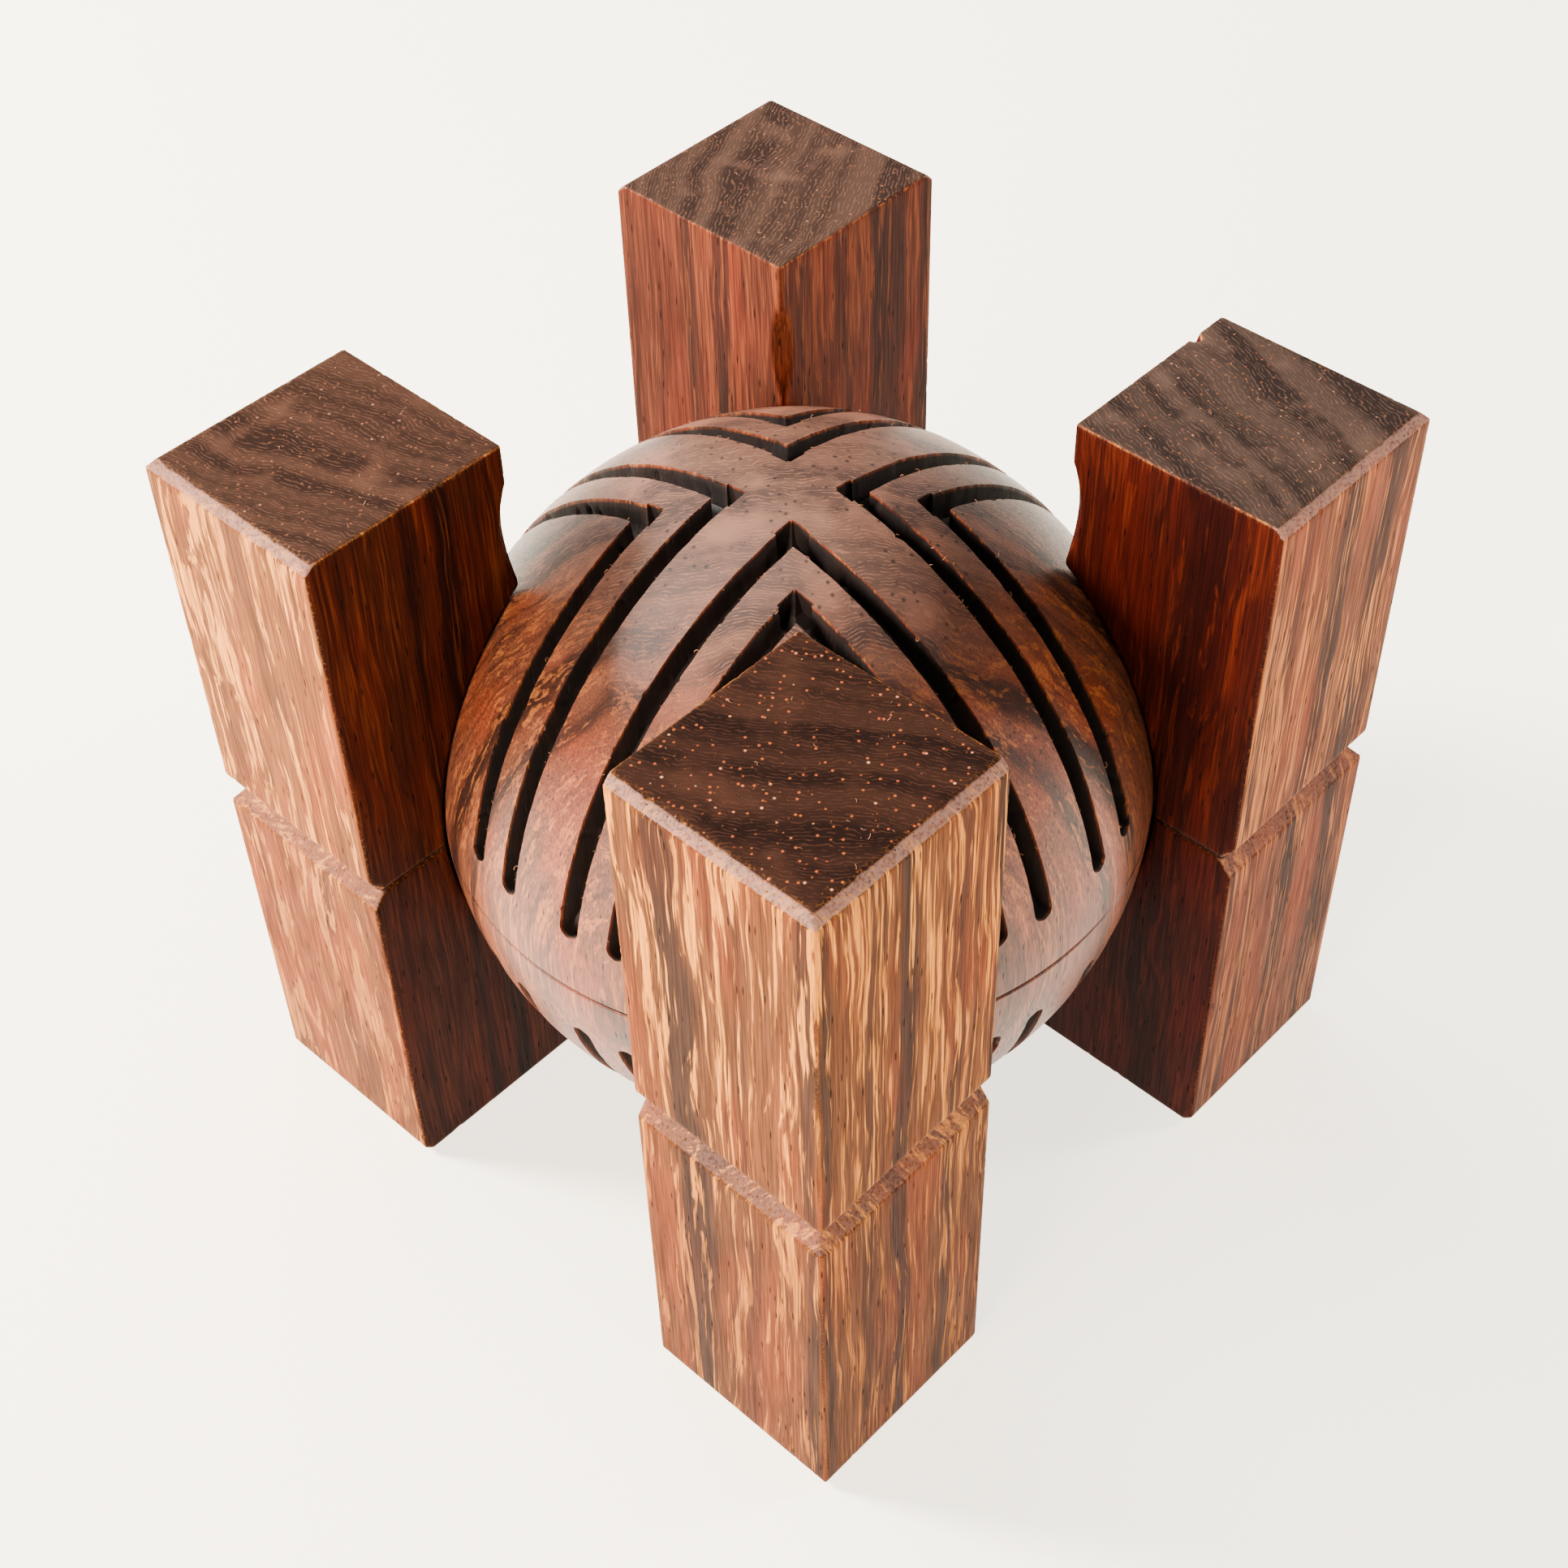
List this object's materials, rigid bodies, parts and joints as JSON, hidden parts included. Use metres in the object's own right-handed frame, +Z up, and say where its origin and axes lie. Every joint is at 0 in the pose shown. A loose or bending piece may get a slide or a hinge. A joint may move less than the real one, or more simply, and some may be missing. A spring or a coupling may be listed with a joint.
{
  "type": "wooden interlocking puzzle",
  "caption": "Wooden interlocking puzzle: a two-part ball with carved angular grooves, caged by square posts that slide out as the ball parts.",
  "frame": {"origin": "middle of the footprint, on the surface that the four posts stand on", "axes": "+Z up along the posts; X and Y along the sides of the square of posts, with the front post at -X -Y"},
  "size_m": [0.09, 0.09, 0.093],
  "materials": {
    "post_wood": "dark streaked rosewood, sawn edges left sharp, thin satin wax",
    "ball_wood": "dark rosewood, turned and sanded smooth, satin wax, grooves cut by hand",
    "tongue_wood": "dark rosewood, planed and waxed to slide",
    "dowel_wood": "plain pale hardwood dowel, unfinished"
  },
  "bodies": {
    "lower_ball": {"lower_half_ball": "ball_wood", "centre_dowel": "dowel_wood"},
    "upper_ball": {"upper_half_ball": "ball_wood"},
    "front_post": {"front_post_upper_block": "post_wood", "front_post_lower_block": "post_wood", "front_post_tongue": "tongue_wood", "front_post_pin": "dowel_wood"},
    "left_post": {"left_post_upper_block": "post_wood", "left_post_lower_block": "post_wood", "left_post_tongue": "tongue_wood", "left_post_pin": "dowel_wood"},
    "back_post": {"back_post_upper_block": "post_wood", "back_post_lower_block": "post_wood", "back_post_tongue": "tongue_wood", "back_post_pin": "dowel_wood"},
    "right_post": {"right_post_upper_block": "post_wood", "right_post_lower_block": "post_wood", "right_post_tongue": "tongue_wood", "right_post_pin": "dowel_wood"}
  },
  "joints": [
    {"name": "upper_ball_lift", "type": "slide", "parent": "lower_ball", "child": "upper_ball", "axis": [0, 0, 1], "range_m": [0, 0.03]},
    {"name": "front_post_slide", "type": "slide", "parent": "lower_ball", "child": "front_post", "axis": [-0.6325, -0.6325, 0.4472], "range_m": [0, 0.0336]},
    {"name": "left_post_slide", "type": "slide", "parent": "lower_ball", "child": "left_post", "axis": [-0.6325, 0.6325, 0.4472], "range_m": [0, 0.0336]},
    {"name": "back_post_slide", "type": "slide", "parent": "lower_ball", "child": "back_post", "axis": [0.6325, 0.6325, 0.4472], "range_m": [0, 0.0336]},
    {"name": "right_post_slide", "type": "slide", "parent": "lower_ball", "child": "right_post", "axis": [0.6325, -0.6325, 0.4472], "range_m": [0, 0.0336]}
  ],
  "couplings": [
    {"joint": "front_post_slide", "follows": "upper_ball_lift", "ratio": 1.118},
    {"joint": "left_post_slide", "follows": "upper_ball_lift", "ratio": 1.118},
    {"joint": "back_post_slide", "follows": "upper_ball_lift", "ratio": 1.118},
    {"joint": "right_post_slide", "follows": "upper_ball_lift", "ratio": 1.118}
  ]
}
